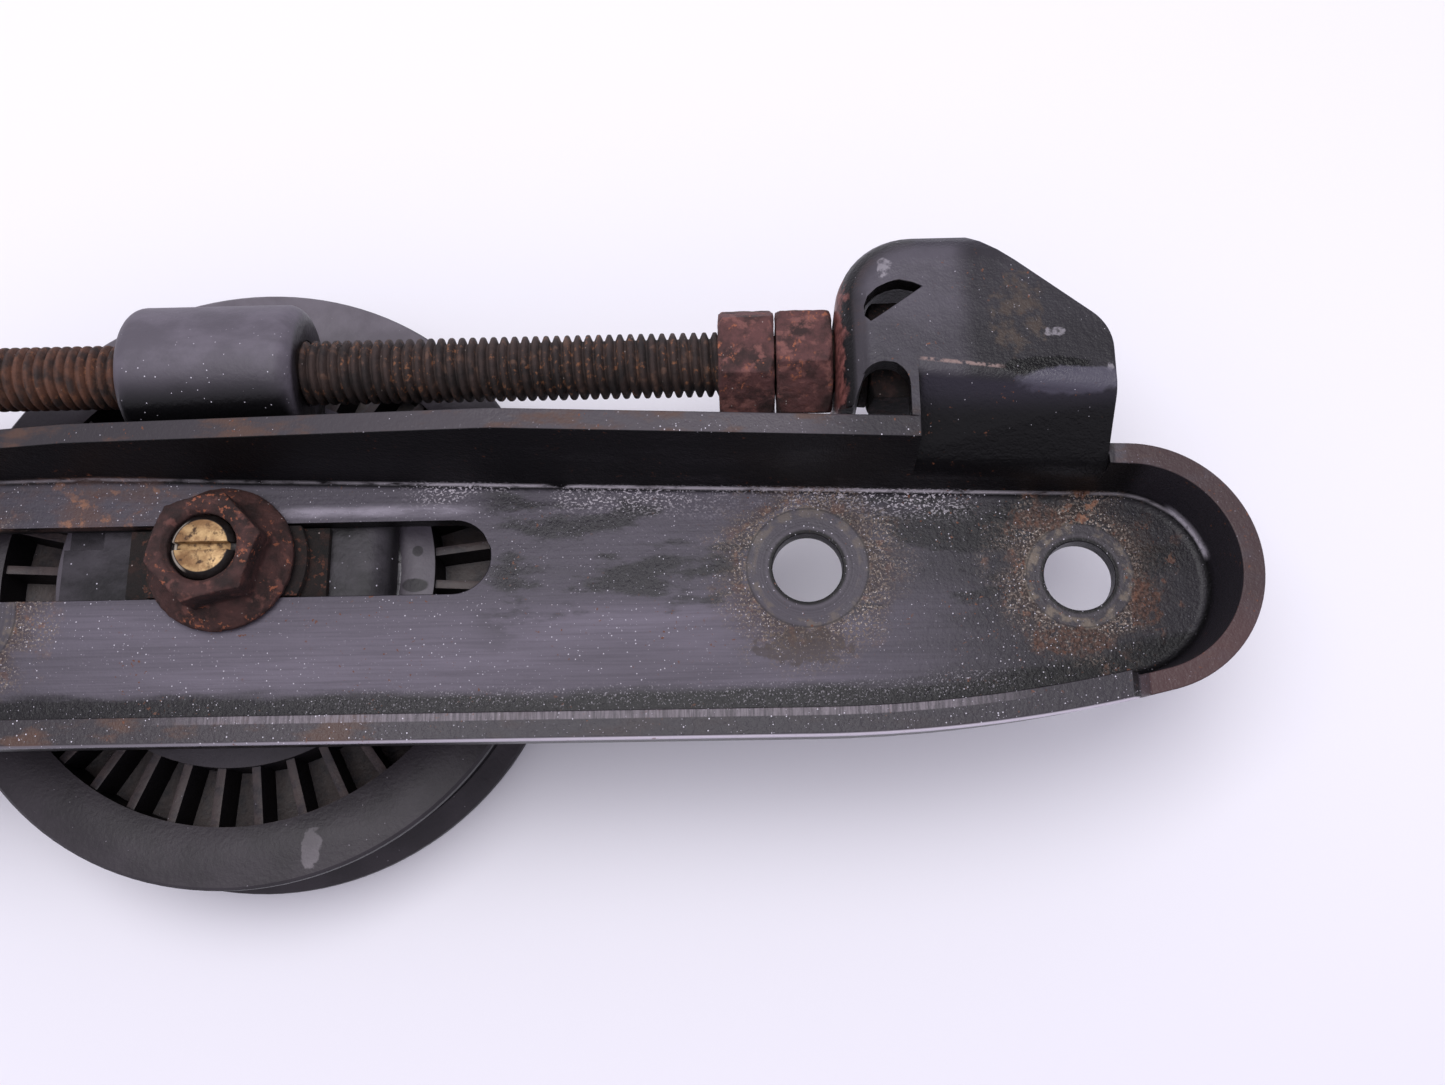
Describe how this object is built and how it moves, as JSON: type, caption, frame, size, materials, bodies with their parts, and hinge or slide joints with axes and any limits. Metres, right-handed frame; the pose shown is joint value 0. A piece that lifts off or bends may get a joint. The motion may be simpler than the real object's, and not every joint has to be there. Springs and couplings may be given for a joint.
{
  "type": "belt tensioner idler",
  "caption": "Pressed steel slotted bracket with a jack-screw slider that carries a flanged ribbed idler pulley, for setting the tension of a flat or V-ribbed drive belt.",
  "frame": {"origin": "middle of the two engine bolt holes, on the bracket's mounting face (the underside of its web)", "axes": "+X along the bracket from the pulley towards the round bolt end, +Y towards the jack screw, +Z along the pulley axis towards the open side with the lock nut"},
  "size_m": [0.2819, 0.11, 0.0587],
  "materials": {
    "bracket_coat": "worn black dip coat, dusty, rust at the bolt holes",
    "slider_coat": "worn dark grey coat",
    "barrel_coat": "smooth black coat, dusty",
    "rusty_steel": "rusty steel",
    "rusty_thread": "dark brown rusty thread",
    "rusty_nut": "heavy red-brown rust",
    "rusty_lock_nut": "heavy red-brown rust",
    "yellow_zinc": "yellow zinc plate, stained",
    "bare_steel": "turned steel, dull",
    "shield_steel": "black pressed steel",
    "spring_steel": "black spring steel",
    "bearing_steel": "ground steel",
    "ribbed_plastic": "black glass-filled plastic, brown dust",
    "cage_plastic": "moulded cage",
    "seal_rubber": "black rubber"
  },
  "bodies": {
    "bracket_frame": {"bracket": "bracket_coat"},
    "slider": {"slider_plate": "slider_coat", "slot_guide": "rusty_steel", "adjuster_barrel": "barrel_coat", "axle_stud": "yellow_zinc", "axle_sleeve": "bare_steel", "dust_shield": "shield_steel", "bearing_inner_race": "bearing_steel"},
    "screw": {"jack_screw": "rusty_thread", "jam_nut_inner": "rusty_nut", "jam_nut_outer": "rusty_nut", "thrust_washer": "rusty_steel", "retaining_nut": "rusty_nut"},
    "lock": {"lock_nut": "rusty_lock_nut"},
    "wheel": {"pulley": "ribbed_plastic", "hub_insert": "bare_steel", "retaining_ring": "spring_steel", "bearing_outer_race": "bearing_steel", "bearing_seal_near": "seal_rubber", "bearing_seal_far": "seal_rubber"},
    "ball_set": {"bearing_balls": "bearing_steel", "bearing_cage": "cage_plastic"}
  },
  "joints": [
    {"name": "jack_turn", "type": "hinge", "parent": "bracket_frame", "child": "screw", "pos_m": [-0.1, 0.03565, 0.0105], "axis": [1, 0, 0], "range_deg": [-4570, 9330]},
    {"name": "slider_travel", "type": "slide", "parent": "bracket_frame", "child": "slider", "axis": [1, 0, 0], "range_m": [-0.047, 0.023]},
    {"name": "pulley_spin", "type": "hinge", "parent": "slider", "child": "wheel", "pos_m": [-0.1236, 0.00415, -0.0177], "axis": [0, 0, 1], "continuous": true},
    {"name": "ball_spin", "type": "hinge", "parent": "slider", "child": "ball_set", "pos_m": [-0.1236, 0.00415, -0.0177], "axis": [0, 0, 1], "continuous": true},
    {"name": "lock_turn", "type": "hinge", "parent": "slider", "child": "lock", "pos_m": [-0.1236, 0.00415, 0.009], "axis": [0, 0, 1], "range_deg": [0, 360]}
  ],
  "couplings": [
    {"joint": "jack_turn", "follows": "slider_travel", "rad_per_m": -3463.7},
    {"joint": "ball_spin", "follows": "pulley_spin", "ratio": 0.63}
  ]
}
